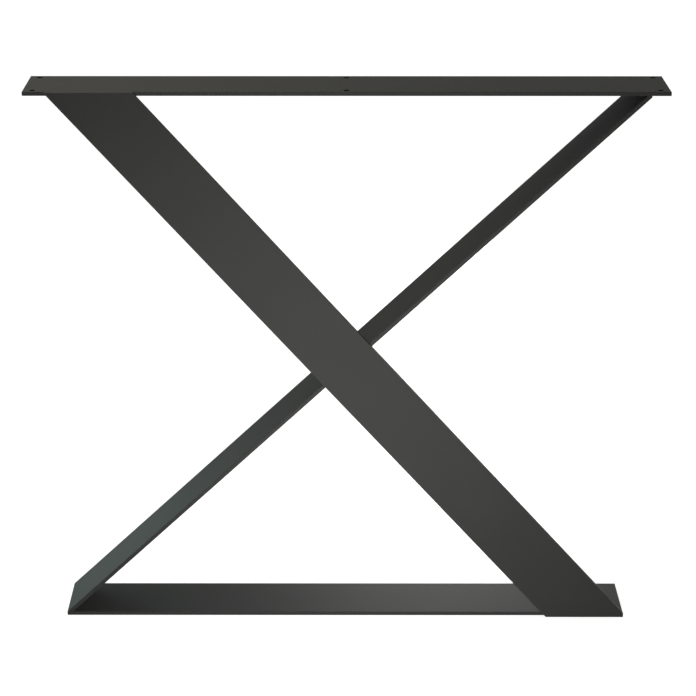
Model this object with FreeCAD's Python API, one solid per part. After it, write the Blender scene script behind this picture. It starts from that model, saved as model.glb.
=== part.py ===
import FreeCAD, Part
import math
import os

# X-shaped table leg: four flat steel bars welded into one frame.
# Millimetres, +Z up. The origin is on the floor under the middle of the leg, with +X along
# the plates and the front strut, which turns its flat face outwards, on the -Y side.

# Flat bar stock
bar_width = 80.0
bar_thickness = 5.0
edge_radius = 0.6            # softened edges of every bar

# Frame
leg_height = 710.0
floor_plate_length = 736.0
top_overhang = 21.0          # top plate past the floor plate, at each end
front_strut_setback = 5.0    # front strut's top corner, inside the floor plate's end
rear_strut_trim = 2.0        # rear strut's top corner, cut upright inside the floor plate's end

# Screw holes for the table top, in three pairs
hole_diameter = 7.0
hole_end_distance = 12.0     # outer holes' centres to the plate's ends
hole_edge_distance = 8.0     # every hole's centre to the nearer long edge
hole_edge_break = 0.3        # chamfer at both mouths

# Fillet welds in the inner corners
weld_leg = 4.0
weld_bulge = 0.5             # how far a bead's face stands proud of flat
weld_inset = 9.0             # from a bead's ends to the edges of the bars
weld_run_out = 3.0           # length over which a bead tapers off
weld_end_size = 0.45         # size of a bead's very end, as a share of its leg

# Places that follow from the sizes
top_plate_length = floor_plate_length + 2 * top_overhang
plate_front = (bar_thickness - bar_width) / 2
plate_back = plate_front + bar_width
floor_plate_top = bar_thickness
top_plate_underside = leg_height - bar_thickness
half_base = floor_plate_length / 2


def vec(x, y, z):
    return FreeCAD.Vector(x, y, z)


LEFT, RIGHT = vec(-1, 0, 0), vec(1, 0, 0)
FORWARD, BACK = vec(0, -1, 0), vec(0, 1, 0)
DOWN, UP = vec(0, 0, -1), vec(0, 0, 1)


def diagonal_slope(run, rise, width):
    """Slope of a straight bar whose two edges pass through opposite corners of a run by rise."""
    return math.atan2(rise, run) + math.asin(width / math.hypot(run, rise))


# Slopes of the two struts from the floor
rear_slope = diagonal_slope(floor_plate_length, top_plate_underside - floor_plate_top, bar_thickness)
front_slope = diagonal_slope(floor_plate_length - front_strut_setback, leg_height - floor_plate_top, bar_width)


def rear_strut_x(z, inside=0.0):
    """X of the rear strut's upper face at height z, or of a line this far inside that face."""
    return -half_base + (z - floor_plate_top) / math.tan(rear_slope) + inside / math.sin(rear_slope)


def front_strut_x(z, inside=0.0):
    """X of the front strut's left edge at height z, or of a line this far inside that edge."""
    left = -half_base + front_strut_setback + (leg_height - z) / math.tan(front_slope)
    return left + inside / math.sin(front_slope)


def crossing_height(inside_rear, inside_front):
    """Height at which a line inside the rear strut crosses a line inside the front strut."""
    gap = front_strut_x(0, inside_front) - rear_strut_x(0, inside_rear)
    return gap / (1 / math.tan(rear_slope) + 1 / math.tan(front_slope))


def prism(outline, front, depth):
    """Solid from an outline of (x, z) corners, with its front face at this Y."""
    corners = [vec(x, front, z) for x, z in outline]
    return Part.Face(Part.makePolygon(corners + corners[:1])).extrude(BACK * depth)


def plate_blank(length, underside):
    corner = vec(-length / 2, plate_front, underside)
    return Part.makeBox(length, bar_width, bar_thickness, corner)


def front_strut_blank():
    """Flat bar with its wide face to the front, its lower corner cut in line with the floor plate."""
    outline = [
        (front_strut_x(0), 0),
        (half_base, 0),
        (half_base, floor_plate_top),
        (front_strut_x(leg_height, bar_width), leg_height),
        (front_strut_x(leg_height), leg_height),
    ]
    return prism(outline, plate_front - bar_thickness, bar_thickness)


def rear_strut_blank():
    """Flat bar with its thin edge to the front, cut level between the two plates."""
    tip_x = half_base - rear_strut_trim
    tip_z = top_plate_underside - rear_strut_trim * math.tan(rear_slope)
    outline = [
        (rear_strut_x(floor_plate_top), floor_plate_top),
        (rear_strut_x(floor_plate_top, bar_thickness), floor_plate_top),
        (tip_x, tip_z),
        (tip_x, top_plate_underside),
        (rear_strut_x(top_plate_underside), top_plate_underside),
    ]
    return prism(outline, plate_front, bar_width)


def finish_bar(blank, neighbours):
    """Soften a bar's edges, but keep them square where a neighbour is welded on.

    Each neighbour comes with the direction that leads from it into this bar.
    """
    bar = blank.makeFillet(edge_radius, blank.Edges)
    for neighbour, direction in neighbours:
        seat = neighbour.translated(direction * 2 * edge_radius).common(blank)
        bar = bar.fuse(seat)
    return bar.removeSplitter().Solids[0]


def screw_hole(x, y):
    """Cutter for one hole through the top plate, a little wider at both mouths."""
    radius = hole_diameter / 2
    mouth = radius + hole_edge_break
    low, high = top_plate_underside, leg_height
    outline = [
        (0, low),
        (mouth, low),
        (radius, low + hole_edge_break),
        (radius, high - hole_edge_break),
        (mouth, high),
        (0, high),
    ]
    corners = [vec(x + reach, y, z) for reach, z in outline]
    half_section = Part.Face(Part.makePolygon(corners + corners[:1]))
    return half_section.revolve(vec(x, y, 0), UP, 360)


def drill_top_plate(plate):
    outer = top_plate_length / 2 - hole_end_distance
    for x in (-outer, 0, outer):
        for y in (plate_front + hole_edge_distance, plate_back - hole_edge_distance):
            plate = plate.cut(screw_hole(x, y))
    return plate.Solids[0]


def make_bars():
    top, floor = plate_blank(top_plate_length, top_plate_underside), plate_blank(floor_plate_length, 0)
    front, rear = front_strut_blank(), rear_strut_blank()
    return {
        "top_plate": drill_top_plate(finish_bar(top, [(front, BACK), (rear, UP)])),
        "floor_plate": finish_bar(floor, [(front, BACK), (rear, DOWN)]),
        "front_strut": finish_bar(front, [(top, FORWARD), (floor, FORWARD), (rear, FORWARD)]),
        "rear_strut": finish_bar(rear, [(front, BACK), (top, DOWN), (floor, UP)]),
    }


def bead_section(corner, leg_one, leg_two, size):
    """Outline of a fillet bead: one leg against each bar, and a slightly bulging face."""
    toe_one, toe_two = corner + leg_one * size, corner + leg_two * size
    middle = (toe_one + toe_two) * 0.5
    crown = middle + (middle - corner).normalize() * (weld_bulge * size / weld_leg)
    return Part.Wire([
        Part.LineSegment(corner, toe_one).toShape(),
        Part.Arc(toe_one, crown, toe_two).toShape(),
        Part.LineSegment(toe_two, corner).toShape(),
    ])


def weld_bead(start, end, leg_one, leg_two):
    """Fillet bead along an inner corner from start to end, tapering off at both ends."""
    run_out = (end - start).normalize() * weld_run_out
    small = weld_leg * weld_end_size
    stations = [(start, small), (start + run_out, weld_leg), (end - run_out, weld_leg), (end, small)]
    sections = [bead_section(corner, leg_one, leg_two, size) for corner, size in stations]
    return Part.makeLoft(sections, True, True).Solids[0]


def rear_strut_welds():
    """Beads across the depth, in the sharp corners at the rear strut's two ends."""
    up_strut = vec(math.cos(rear_slope), 0, math.sin(rear_slope))
    foot_x = rear_strut_x(floor_plate_top, bar_thickness)
    head_x = rear_strut_x(top_plate_underside)
    near, far = plate_front + weld_inset, plate_back - weld_inset
    return {
        "weld_rear_strut_foot": weld_bead(
            vec(foot_x, near, floor_plate_top), vec(foot_x, far, floor_plate_top), RIGHT, up_strut),
        "weld_rear_strut_head": weld_bead(
            vec(head_x, near, top_plate_underside), vec(head_x, far, top_plate_underside), LEFT, -up_strut),
    }


def front_strut_welds():
    """Beads along the two plates, behind the ends of the front strut."""
    welds = {}
    ends = {"foot": (floor_plate_top, UP), "head": (top_plate_underside, DOWN)}
    for end, (z, along_strut) in ends.items():
        left, right = front_strut_x(z, weld_inset), front_strut_x(z, bar_width - weld_inset)
        welds["weld_front_strut_" + end] = weld_bead(
            vec(left, plate_front, z), vec(right, plate_front, z), BACK, along_strut)
    return welds


def crossing_welds():
    """Beads along both faces of the rear strut, where it passes behind the front strut."""
    off_upper_face = vec(-math.sin(rear_slope), 0, math.cos(rear_slope))
    sides = {"upper": (0.0, off_upper_face), "lower": (bar_thickness, -off_upper_face)}
    welds = {}
    for side, (inside_rear, off_face) in sides.items():
        heights = [crossing_height(inside_rear, d) for d in (weld_inset, bar_width - weld_inset)]
        start, end = [vec(rear_strut_x(z, inside_rear), plate_front, z) for z in heights]
        welds["weld_crossing_" + side] = weld_bead(start, end, BACK, off_face)
    return welds


def main():
    os.makedirs("parts", exist_ok=True)
    pieces = {**make_bars(), **rear_strut_welds(), **front_strut_welds(), **crossing_welds()}
    for name, solid in pieces.items():
        solid.exportStep("parts/" + name + ".step")
        size = solid.BoundBox
        print(name, "%.1f x %.1f x %.1f mm" % (size.XLength, size.YLength, size.ZLength))


if __name__ == "__main__":
    main()
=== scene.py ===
import math

import bmesh
import bpy
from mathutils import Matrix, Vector


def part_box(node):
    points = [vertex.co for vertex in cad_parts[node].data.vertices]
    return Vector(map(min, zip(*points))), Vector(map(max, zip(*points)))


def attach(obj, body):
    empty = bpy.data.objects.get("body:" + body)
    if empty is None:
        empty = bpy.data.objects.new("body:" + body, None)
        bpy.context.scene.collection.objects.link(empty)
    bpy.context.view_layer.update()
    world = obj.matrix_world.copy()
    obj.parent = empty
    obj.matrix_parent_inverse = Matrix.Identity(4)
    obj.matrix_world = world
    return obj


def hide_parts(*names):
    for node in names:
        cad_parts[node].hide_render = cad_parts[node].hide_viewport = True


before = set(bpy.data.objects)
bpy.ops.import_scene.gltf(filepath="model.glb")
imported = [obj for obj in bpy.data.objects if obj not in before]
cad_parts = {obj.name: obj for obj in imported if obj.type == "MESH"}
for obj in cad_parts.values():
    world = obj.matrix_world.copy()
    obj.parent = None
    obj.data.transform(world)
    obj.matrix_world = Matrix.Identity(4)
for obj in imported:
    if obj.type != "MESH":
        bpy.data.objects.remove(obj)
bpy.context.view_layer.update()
mm = 0.001


def linearColour(hexColour):
    # sRGB hex value to the linear red, green, blue and alpha that the nodes use
    channels = [int(hexColour[i:i + 2], 16) / 255 for i in (1, 3, 5)]
    return [c / 12.92 if c <= 0.04045 else ((c + 0.055) / 1.055) ** 2.4 for c in channels] + [1]


def addNode(tree, kind, settings=None, inputs=None):
    # One node. Each of its inputs is a value, a socket, or a node whose first output is linked.
    node = tree.nodes.new(kind)
    for name, value in (settings or {}).items():
        setattr(node, name, value)
    for name, value in (inputs or {}).items():
        if isinstance(value, bpy.types.Node):
            value = value.outputs[0]
        if isinstance(value, bpy.types.NodeSocket):
            tree.links.new(value, node.inputs[name])
        else:
            node.inputs[name].default_value = value
    return node


def newMaterial(name):
    material = bpy.data.materials.new(name)
    material.use_nodes = True
    material.node_tree.nodes.clear()
    return material, material.node_tree


# Camera: a long lens, 2.4 m in front of the leg and 1.3 m up, looking down on it
camera = {
    "place": (-16.7 * mm, -2365.1 * mm, 1298.3 * mm),
    "tiltDown": 21.51,      # degrees
    "turnLeft": 0.08,       # degrees
    "focalLength": 103.0,   # mm on a 36 mm sensor
    "sensor": 36.0,         # mm
    "shiftX": 0.0259,
}


def makeCamera():
    lens = bpy.data.cameras.new("camera")
    lens.sensor_width = camera["sensor"]
    lens.lens = camera["focalLength"]
    lens.shift_x = camera["shiftX"]
    view = bpy.data.objects.new("camera", lens)
    view.location = camera["place"]
    view.rotation_euler = (math.radians(90 - camera["tiltDown"]), 0, math.radians(camera["turnLeft"]))
    bpy.context.scene.collection.objects.link(view)
    bpy.context.scene.camera = view


# Powder coat: thermoset polyester, sprayed dry and baked on the steel. It has no metal in it and
# no clear layer. Its fine sandy texture scatters the light, so it has only a faint, wide sheen,
# and the melted film under the texture keeps a slight orange peel.
powderCoat = {
    "colour": "#3c3c3b",
    "shadeColour": "#363635",   # where the coat is a touch thinner
    "cloudSize": 90 * mm,       # size of the faint uneven patches
    "grainSize": 1.8 * mm,      # the real grain is about 0.3 mm, too fine to show, so it is drawn coarser
    "grainHeight": 0.012 * mm,
    "grainShade": 0.25,         # how far the grain, rather than the patches, mixes the two colours
    "peelSize": 7 * mm,
    "peelHeight": 0.03 * mm,
    "roughness": (0.66, 0.74),
    "ior": 1.5,
    "specular": 0.06,           # the texture shades its own gloss at low angles
}


def makePowderCoat():
    material, tree = newMaterial("powderCoatFineTexture")
    place = addNode(tree, "ShaderNodeTexCoord").outputs["Object"]
    clouds = addNode(tree, "ShaderNodeTexNoise", {}, {
        "Vector": place, "Scale": 1 / powderCoat["cloudSize"], "Detail": 3.0, "Roughness": 0.5})
    grain = addNode(tree, "ShaderNodeTexNoise", {}, {
        "Vector": place, "Scale": 1 / powderCoat["grainSize"], "Detail": 1.0, "Roughness": 0.5})
    peel = addNode(tree, "ShaderNodeTexNoise", {}, {
        "Vector": place, "Scale": 1 / powderCoat["peelSize"], "Detail": 1.0, "Roughness": 0.4})
    # A Mix node's inputs 2 and 3 are its two numbers, and 6 and 7 are its two colours
    shade = addNode(tree, "ShaderNodeMix", {"data_type": "FLOAT"}, {
        "Factor": powderCoat["grainShade"], 2: clouds, 3: grain})
    colour = addNode(tree, "ShaderNodeMix", {"data_type": "RGBA"}, {
        "Factor": shade, 6: linearColour(powderCoat["shadeColour"]), 7: linearColour(powderCoat["colour"])})
    smoothest, roughest = powderCoat["roughness"]
    gloss = addNode(tree, "ShaderNodeMapRange", {}, {"Value": grain, "To Min": smoothest, "To Max": roughest})
    film = addNode(tree, "ShaderNodeBump", {}, {
        "Height": peel, "Distance": powderCoat["peelHeight"], "Strength": 1.0})
    bump = addNode(tree, "ShaderNodeBump", {}, {
        "Height": grain, "Distance": powderCoat["grainHeight"], "Strength": 1.0, "Normal": film})
    surface = addNode(tree, "ShaderNodeBsdfPrincipled", {}, {
        "Base Color": colour.outputs[2], "Roughness": gloss, "Normal": bump,
        "IOR": powderCoat["ior"], "Specular IOR Level": powderCoat["specular"]})
    addNode(tree, "ShaderNodeOutputMaterial", {}, {"Surface": surface})
    return material


# Floor and surroundings, both plain white as the camera sees them
studio = {
    "floorSize": 40.0,            # metres
    "floorColour": "#bcbcbc",     # the paint, which adds the lamps' light and the shadow to the glow
    "glow": 0.84,                 # strength near the leg, where 1 is plain white
    "glowReach": (0.5, 1.1),      # metres from the middle over which the glow grows to plain white
    "bounceColour": "#8c8c8c",    # the floor as it lights the leg
    "surroundings": 0.05,         # strength of the surroundings as they light the leg
}


def seenDirectly(tree):
    # 1 where the camera sees the surface itself, or sees it mirrored or through glass
    path = addNode(tree, "ShaderNodeLightPath")
    mirrored = addNode(tree, "ShaderNodeMath", {"operation": "MAXIMUM"}, {
        0: path.outputs["Is Camera Ray"], 1: path.outputs["Is Glossy Ray"]})
    return addNode(tree, "ShaderNodeMath", {"operation": "MAXIMUM"}, {
        0: mirrored, 1: path.outputs["Is Transmission Ray"]})


def makeFloor():
    material, tree = newMaterial("paleFloor")
    place = addNode(tree, "ShaderNodeTexCoord").outputs["Object"]
    distance = addNode(tree, "ShaderNodeVectorMath", {"operation": "LENGTH"}, {0: place}).outputs["Value"]
    nearest, farthest = studio["glowReach"]
    glow = addNode(tree, "ShaderNodeMapRange", {"interpolation_type": "SMOOTHSTEP"}, {
        "Value": distance, "From Min": nearest, "From Max": farthest,
        "To Min": studio["glow"], "To Max": 1.0})
    bounce = addNode(tree, "ShaderNodeBsdfDiffuse", {}, {"Color": linearColour(studio["bounceColour"])})
    paint = addNode(tree, "ShaderNodeBsdfDiffuse", {}, {"Color": linearColour(studio["floorColour"])})
    white = addNode(tree, "ShaderNodeEmission", {}, {"Strength": glow})
    bright = addNode(tree, "ShaderNodeAddShader", {}, {0: paint, 1: white})
    surface = addNode(tree, "ShaderNodeMixShader", {}, {0: seenDirectly(tree), 1: bounce, 2: bright})
    addNode(tree, "ShaderNodeOutputMaterial", {}, {"Surface": surface})
    half = studio["floorSize"] / 2
    corners = [(-half, -half, 0), (half, -half, 0), (half, half, 0), (-half, half, 0)]
    mesh = bpy.data.meshes.new("floor")
    mesh.from_pydata(corners, [], [(0, 1, 2, 3)])
    mesh.materials.append(material)
    floor = bpy.data.objects.new("floor", mesh)
    bpy.context.scene.collection.objects.link(floor)


def makeSurroundings():
    world = bpy.data.worlds.new("studio")
    world.use_nodes = True
    tree = world.node_tree
    tree.nodes.clear()
    white = linearColour("#ffffff")
    light = addNode(tree, "ShaderNodeBackground", {}, {"Color": white, "Strength": studio["surroundings"]})
    plain = addNode(tree, "ShaderNodeBackground", {}, {"Color": white, "Strength": 1.0})
    mix = addNode(tree, "ShaderNodeMixShader", {}, {0: seenDirectly(tree), 1: light, 2: plain})
    addNode(tree, "ShaderNodeOutputWorld", {}, {"Surface": mix})
    bpy.context.scene.world = world


# Soft boxes: where each stands, what it is aimed at (both in metres), its width and height,
# its power in watts, its tint, and how far its light spreads in degrees
softBoxes = {
    "overheadBox": {
        "place": (0.0, 0.2, 2.4), "aim": (0.0, 0.2, 0.0), "size": (2.2, 2.2),
        "power": 10.0, "colour": "#fff9e6", "spread": 180},
    "topLeftBox": {
        "place": (-0.5, 0.05, 1.3), "aim": (-0.32, 0.0, 0.5), "size": (0.45, 0.4),
        "power": 2.4, "colour": "#fffbe6", "spread": 180},
    "frontGriddedBox": {
        "place": (0.03, -1.2, 0.32), "aim": (0.03, 0.0, 0.28), "size": (0.3, 0.3),
        "power": 3.0, "colour": "#ffffff", "spread": 85},
    "upperGriddedBox": {
        "place": (-0.1, -1.2, 0.55), "aim": (-0.1, 0.0, 0.42), "size": (0.3, 0.3),
        "power": 0.54, "colour": "#ffffff", "spread": 62},
    "leftBackBox": {
        "place": (-0.8, 0.5, 0.2), "aim": (-0.25, 0.0, 0.08), "size": (0.4, 0.25),
        "power": 1.25, "colour": "#d2f5ef", "spread": 110},
    "backFloorBox": {
        "place": (0.15, 0.7, 0.16), "aim": (0.15, 0.0, 0.0), "size": (0.35, 0.2),
        "power": 0.8, "colour": "#ffffff", "spread": 70},
    "backBox": {
        "place": (0.7, 1.4, 0.16), "aim": (0.05, 0.0, 0.35), "size": (0.7, 0.25),
        "power": 9.0, "colour": "#ffffff", "spread": 180},
    "rightBackBox": {
        "place": (1.2, 0.45, 0.45), "aim": (0.0, 0.0, 0.4), "size": (0.6, 0.5),
        "power": 2.4, "colour": "#ffffff", "spread": 180},
}


def makeSoftBox(name, box):
    lamp = bpy.data.lights.new(name, "AREA")
    lamp.shape = "RECTANGLE"
    lamp.size, lamp.size_y = box["size"]
    lamp.energy = box["power"]
    lamp.color = linearColour(box["colour"])[:3]
    lamp.spread = math.radians(box["spread"])
    stand = bpy.data.objects.new(name, lamp)
    stand.location = box["place"]
    stand.rotation_euler = (Vector(box["aim"]) - Vector(box["place"])).to_track_quat("-Z", "Y").to_euler()
    stand.visible_camera = False
    bpy.context.scene.collection.objects.link(stand)


# Weld beads: laid by hand with a wire welder, in the inner corners, under the same powder coat.
# The weld sets in fine curved ripples across the bead, and its start and stop are rounded.
weldBead = {
    "legLength": 4.0 * mm,
    "bulge": 0.35 * mm,             # how far the face stands proud of flat
    "inset": 9.0 * mm,              # from a bead's ends to the edges of the bars
    "runOut": 2.5 * mm,             # length over which each end rounds off
    "ripplePitch": 2.2 * mm,
    "rippleHeight": 0.4 * mm,
    "crescent": 0.75,               # how far a ripple bows along the bead, in ripples
    "uneven": 0.2,                  # share by which the bead's size wanders
    "unevenLength": 9.0 * mm,
    "seedStep": 7.3,                # sets one bead's wandering apart from the next one's
    "stepsPerRipple": 8,
    "faceSteps": 16,
    "legSteps": 2,                  # steps along each leg, where the bead meets a bar
    "mergeDistance": 0.002 * mm,
    "sharpAngle": 40,               # degrees, over which an edge is left sharp
}


def sharedSlope(run, rise, width):
    # Slope of a straight bar whose two edges pass through opposite corners of a run by rise
    return math.atan2(rise, run) + math.asin(width / math.hypot(run, rise))


def weldLines():
    # Each bead's node, with its start, its end, and the directions of its two legs.
    # The bars' places and slopes are read from the boxes of the plates and of the front strut.
    floorLow, floorHigh = [Vector(corner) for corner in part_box("floor_plate")]
    topLow, topHigh = [Vector(corner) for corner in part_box("top_plate")]
    strutLow = Vector(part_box("front_strut")[0])
    thickness = floorHigh.z - floorLow.z
    width = floorHigh.y - floorLow.y
    rearSlope = sharedSlope(floorHigh.x - floorLow.x, topLow.z - floorHigh.z, thickness)
    frontSlope = sharedSlope(floorHigh.x - strutLow.x, topHigh.z - floorHigh.z, width)

    def rearX(z, inside):
        return floorLow.x + (z - floorHigh.z) / math.tan(rearSlope) + inside / math.sin(rearSlope)

    def frontX(z, inside):
        return strutLow.x + (topHigh.z - z) / math.tan(frontSlope) + inside / math.sin(frontSlope)

    def crossing(insideRear, insideFront):
        gap = frontX(0, insideFront) - rearX(0, insideRear)
        z = gap / (1 / math.tan(rearSlope) + 1 / math.tan(frontSlope))
        return Vector((rearX(z, insideRear), floorLow.y, z))

    right, back, up = Vector((1, 0, 0)), Vector((0, 1, 0)), Vector((0, 0, 1))
    alongRear = Vector((math.cos(rearSlope), 0, math.sin(rearSlope)))
    offRear = Vector((-math.sin(rearSlope), 0, math.cos(rearSlope)))
    inset = weldBead["inset"]
    near, far = floorLow.y + inset, floorHigh.y - inset
    footX, headX = rearX(floorHigh.z, thickness), rearX(topLow.z, 0)
    lines = {
        "weld_rear_strut_foot": (
            Vector((footX, near, floorHigh.z)), Vector((footX, far, floorHigh.z)), right, alongRear),
        "weld_rear_strut_head": (
            Vector((headX, near, topLow.z)), Vector((headX, far, topLow.z)), -right, -alongRear),
    }
    for end, z, alongStrut in (("foot", floorHigh.z, up), ("head", topLow.z, -up)):
        lines["weld_front_strut_" + end] = (
            Vector((frontX(z, inset), floorLow.y, z)), Vector((frontX(z, width - inset), floorLow.y, z)),
            back, alongStrut)
    for side, inside, offFace in (("upper", 0, offRear), ("lower", thickness, -offRear)):
        lines["weld_crossing_" + side] = (
            crossing(inside, inset), crossing(inside, width - inset), back, offFace)
    return lines


def makeBeadTree():
    # Geometry Nodes: a grid, along the seam by round the section, bent into a bead
    tree = bpy.data.node_groups.new("weldBead", "GeometryNodeTree")
    sockets = {}
    for name, kind in (
            ("Start", "Vector"), ("End", "Vector"), ("Leg One", "Vector"), ("Leg Two", "Vector"),
            ("Leg Length", "Float"), ("Bulge", "Float"), ("Run Out", "Float"),
            ("Ripple Pitch", "Float"), ("Ripple Height", "Float"), ("Crescent", "Float"),
            ("Uneven", "Float"), ("Uneven Length", "Float"), ("Seed", "Float"),
            ("Steps Along", "Int"), ("Face Steps", "Int"), ("Material", "Material")):
        item = tree.interface.new_socket(name, in_out="INPUT", socket_type="NodeSocket" + kind)
        sockets[name] = item.identifier
    tree.interface.new_socket("Geometry", in_out="OUTPUT", socket_type="NodeSocketGeometry")
    given = addNode(tree, "NodeGroupInput").outputs

    # Round the section: across the face, back along leg two to the corner, then out along leg one
    legSteps = weldBead["legSteps"]
    steps = addNode(tree, "ShaderNodeMath", {"operation": "ADD"}, {0: given["Face Steps"], 1: 2 * legSteps})
    rows = addNode(tree, "ShaderNodeMath", {"operation": "ADD"}, {0: steps, 1: 1.0})
    grid = addNode(tree, "GeometryNodeMeshGrid", {}, {
        "Size X": 1.0, "Size Y": 1.0, "Vertices X": given["Steps Along"], "Vertices Y": rows})
    position = addNode(tree, "GeometryNodeInputPosition")
    place = addNode(tree, "ShaderNodeSeparateXYZ", {}, {0: position}).outputs
    along = addNode(tree, "ShaderNodeMath", {"operation": "ADD"}, {0: place["X"], 1: 0.5})
    turned = addNode(tree, "ShaderNodeMath", {"operation": "ADD"}, {0: place["Y"], 1: 0.5})
    step = addNode(tree, "ShaderNodeMath", {"operation": "MULTIPLY"}, {0: turned, 1: steps})
    past = addNode(tree, "ShaderNodeMath", {"operation": "SUBTRACT"}, {0: step, 1: given["Face Steps"]})
    across = addNode(tree, "ShaderNodeMapRange", {}, {"Value": step, "From Max": given["Face Steps"]})
    backLegTwo = addNode(tree, "ShaderNodeMapRange", {}, {"Value": past, "From Max": legSteps})
    outLegOne = addNode(tree, "ShaderNodeMapRange", {}, {
        "Value": past, "From Min": legSteps, "From Max": 2 * legSteps})

    # Size along the seam: rounded at both ends like a quarter circle, and a little uneven
    seam = addNode(tree, "ShaderNodeVectorMath", {"operation": "SUBTRACT"}, {
        0: given["End"], 1: given["Start"]})
    length = addNode(tree, "ShaderNodeVectorMath", {"operation": "LENGTH"}, {0: seam}).outputs["Value"]
    travelled = addNode(tree, "ShaderNodeMath", {"operation": "MULTIPLY"}, {0: along, 1: length})
    left = addNode(tree, "ShaderNodeMath", {"operation": "SUBTRACT"}, {0: length, 1: travelled})
    toEnd = addNode(tree, "ShaderNodeMath", {"operation": "MINIMUM"}, {0: travelled, 1: left})
    short = addNode(tree, "ShaderNodeMapRange", {}, {
        "Value": toEnd, "From Max": given["Run Out"], "To Min": 1.0, "To Max": 0.0})
    squared = addNode(tree, "ShaderNodeMath", {"operation": "MULTIPLY"}, {0: short, 1: short})
    inside = addNode(tree, "ShaderNodeMath", {"operation": "SUBTRACT"}, {0: 1.0, 1: squared})
    rounding = addNode(tree, "ShaderNodeMath", {"operation": "SQRT"}, {0: inside})
    lengths = addNode(tree, "ShaderNodeMath", {"operation": "DIVIDE"}, {
        0: travelled, 1: given["Uneven Length"]})
    reading = addNode(tree, "ShaderNodeMath", {"operation": "ADD"}, {0: lengths, 1: given["Seed"]})
    wander = addNode(tree, "ShaderNodeTexNoise", {"noise_dimensions": "1D"}, {
        "W": reading, "Scale": 1.0, "Detail": 1.0})
    offMiddle = addNode(tree, "ShaderNodeMath", {"operation": "SUBTRACT"}, {0: wander, 1: 0.5})
    uneven = addNode(tree, "ShaderNodeMath", {"operation": "MULTIPLY_ADD"}, {
        0: offMiddle, 1: given["Uneven"], 2: 1.0})
    rounded = addNode(tree, "ShaderNodeMath", {"operation": "MULTIPLY"}, {
        0: given["Leg Length"], 1: rounding})
    size = addNode(tree, "ShaderNodeMath", {"operation": "MULTIPLY"}, {0: rounded, 1: uneven})

    # Ripples, bowed across the face, on a face that is highest in its middle
    middle = addNode(tree, "ShaderNodeMath", {"operation": "MULTIPLY_ADD"}, {0: across, 1: 2.0, 2: -1.0})
    bow = addNode(tree, "ShaderNodeMath", {"operation": "MULTIPLY"}, {0: middle, 1: middle})
    ripples = addNode(tree, "ShaderNodeMath", {"operation": "DIVIDE"}, {
        0: travelled, 1: given["Ripple Pitch"]})
    phase = addNode(tree, "ShaderNodeMath", {"operation": "MULTIPLY_ADD"}, {
        0: bow, 1: given["Crescent"], 2: ripples})
    angle = addNode(tree, "ShaderNodeMath", {"operation": "MULTIPLY"}, {0: phase, 1: math.pi})
    wave = addNode(tree, "ShaderNodeMath", {"operation": "SINE"}, {0: angle})
    crest = addNode(tree, "ShaderNodeMath", {"operation": "ABSOLUTE"}, {0: wave})
    height = addNode(tree, "ShaderNodeMath", {"operation": "MULTIPLY_ADD"}, {
        0: crest, 1: given["Ripple Height"], 2: given["Bulge"]})
    hump = addNode(tree, "ShaderNodeMath", {"operation": "SUBTRACT"}, {0: 1.0, 1: bow})
    humped = addNode(tree, "ShaderNodeMath", {"operation": "MULTIPLY"}, {0: height, 1: hump})
    proud = addNode(tree, "ShaderNodeMath", {"operation": "MULTIPLY"}, {0: humped, 1: rounding})

    # Each point: the corner of the seam, plus its reach along both legs, plus its height off the face
    before = addNode(tree, "ShaderNodeMath", {"operation": "SUBTRACT"}, {0: 1.0, 1: across})
    shareOne = addNode(tree, "ShaderNodeMath", {"operation": "ADD"}, {0: before, 1: outLegOne})
    shareTwo = addNode(tree, "ShaderNodeMath", {"operation": "SUBTRACT"}, {0: across, 1: backLegTwo})
    reachOne = addNode(tree, "ShaderNodeMath", {"operation": "MULTIPLY"}, {0: size, 1: shareOne})
    reachTwo = addNode(tree, "ShaderNodeMath", {"operation": "MULTIPLY"}, {0: size, 1: shareTwo})
    legOne = addNode(tree, "ShaderNodeVectorMath", {"operation": "SCALE"}, {
        0: given["Leg One"], "Scale": reachOne})
    legTwo = addNode(tree, "ShaderNodeVectorMath", {"operation": "SCALE"}, {
        0: given["Leg Two"], "Scale": reachTwo})
    legs = addNode(tree, "ShaderNodeVectorMath", {"operation": "ADD"}, {0: legOne, 1: legTwo})
    between = addNode(tree, "ShaderNodeVectorMath", {"operation": "ADD"}, {
        0: given["Leg One"], 1: given["Leg Two"]})
    outwards = addNode(tree, "ShaderNodeVectorMath", {"operation": "NORMALIZE"}, {0: between})
    raised = addNode(tree, "ShaderNodeVectorMath", {"operation": "SCALE"}, {0: outwards, "Scale": proud})
    reached = addNode(tree, "ShaderNodeVectorMath", {"operation": "SCALE"}, {0: seam, "Scale": along})
    corner = addNode(tree, "ShaderNodeVectorMath", {"operation": "ADD"}, {0: given["Start"], 1: reached})
    onFlat = addNode(tree, "ShaderNodeVectorMath", {"operation": "ADD"}, {0: corner, 1: legs})
    point = addNode(tree, "ShaderNodeVectorMath", {"operation": "ADD"}, {0: onFlat, 1: raised})

    bent = addNode(tree, "GeometryNodeSetPosition", {}, {"Geometry": grid, "Position": point})
    closed = addNode(tree, "GeometryNodeMergeByDistance", {}, {
        "Geometry": bent, "Distance": weldBead["mergeDistance"]})
    whole = addNode(tree, "GeometryNodeRealizeInstances", {}, {"Geometry": closed})
    coated = addNode(tree, "GeometryNodeSetMaterial", {}, {"Geometry": whole, "Material": given["Material"]})
    addNode(tree, "NodeGroupOutput", {}, {"Geometry": coated})
    return tree, sockets


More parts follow.
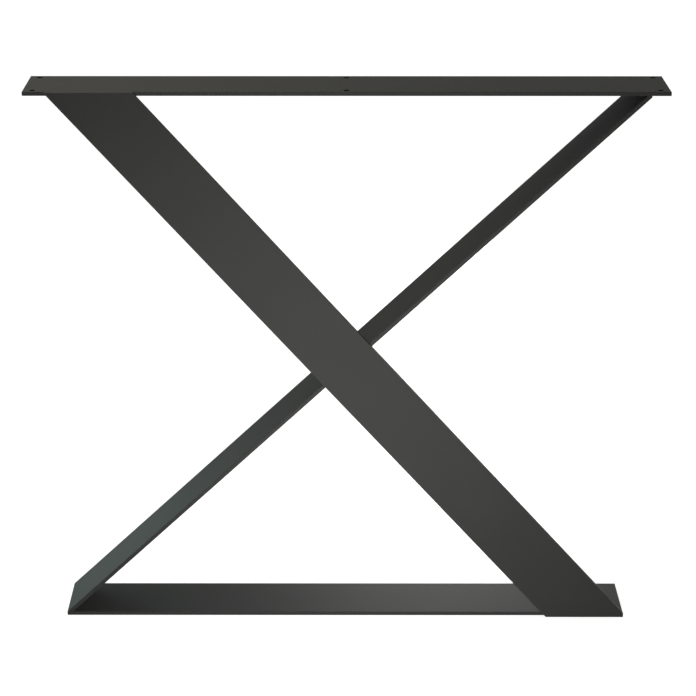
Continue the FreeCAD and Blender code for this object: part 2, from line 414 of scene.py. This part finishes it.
def makeBead(name, node, line, tree, sockets, material, seed):
    start, end, legOne, legTwo = line
    ripples = (end - start).length / weldBead["ripplePitch"]
    values = {
        "Start": start, "End": end, "Leg One": legOne, "Leg Two": legTwo,
        "Leg Length": weldBead["legLength"], "Bulge": weldBead["bulge"], "Run Out": weldBead["runOut"],
        "Ripple Pitch": weldBead["ripplePitch"], "Ripple Height": weldBead["rippleHeight"],
        "Crescent": weldBead["crescent"], "Uneven": weldBead["uneven"],
        "Uneven Length": weldBead["unevenLength"], "Seed": float(seed),
        "Steps Along": round(ripples * weldBead["stepsPerRipple"]), "Face Steps": weldBead["faceSteps"],
        "Material": material,
    }
    carrier = bpy.data.objects.new("carrier", bpy.data.meshes.new("carrier"))
    bpy.context.scene.collection.objects.link(carrier)
    modifier = carrier.modifiers.new("weldBead", "NODES")
    modifier.node_group = tree
    for label, value in values.items():
        modifier[sockets[label]] = value
    evaluated = carrier.evaluated_get(bpy.context.evaluated_depsgraph_get())
    mesh = bpy.data.meshes.new_from_object(evaluated)
    bpy.data.objects.remove(carrier)
    outwards = bmesh.new()
    outwards.from_mesh(mesh)
    bmesh.ops.recalc_face_normals(outwards, faces=outwards.faces)
    outwards.to_mesh(mesh)
    outwards.free()
    mesh.shade_smooth()
    mesh.set_sharp_from_angle(angle=math.radians(weldBead["sharpAngle"]))
    mesh.name = name
    piece = bpy.data.objects.new(name, mesh)
    bpy.context.scene.collection.objects.link(piece)
    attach(piece, "root")
    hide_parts(node)
    return piece


print("camera and studio")
makeCamera()
makeFloor()
makeSurroundings()
for boxName, box in softBoxes.items():
    makeSoftBox(boxName, box)
bpy.context.scene.view_settings.view_transform = "Standard"

print("powder coat on the bars")
coat = makePowderCoat()
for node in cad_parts.values():
    for materialSlot in node.material_slots:
        materialSlot.material = coat

print("weld beads in the inner corners")
beadTree, beadSockets = makeBeadTree()
for count, (node, line) in enumerate(weldLines().items()):
    seed = count * weldBead["seedStep"]
    bead = makeBead(node.replace("weld", "bead"), node, line, beadTree, beadSockets, coat, seed)
    print(" ", bead.name, len(bead.data.polygons), "faces")
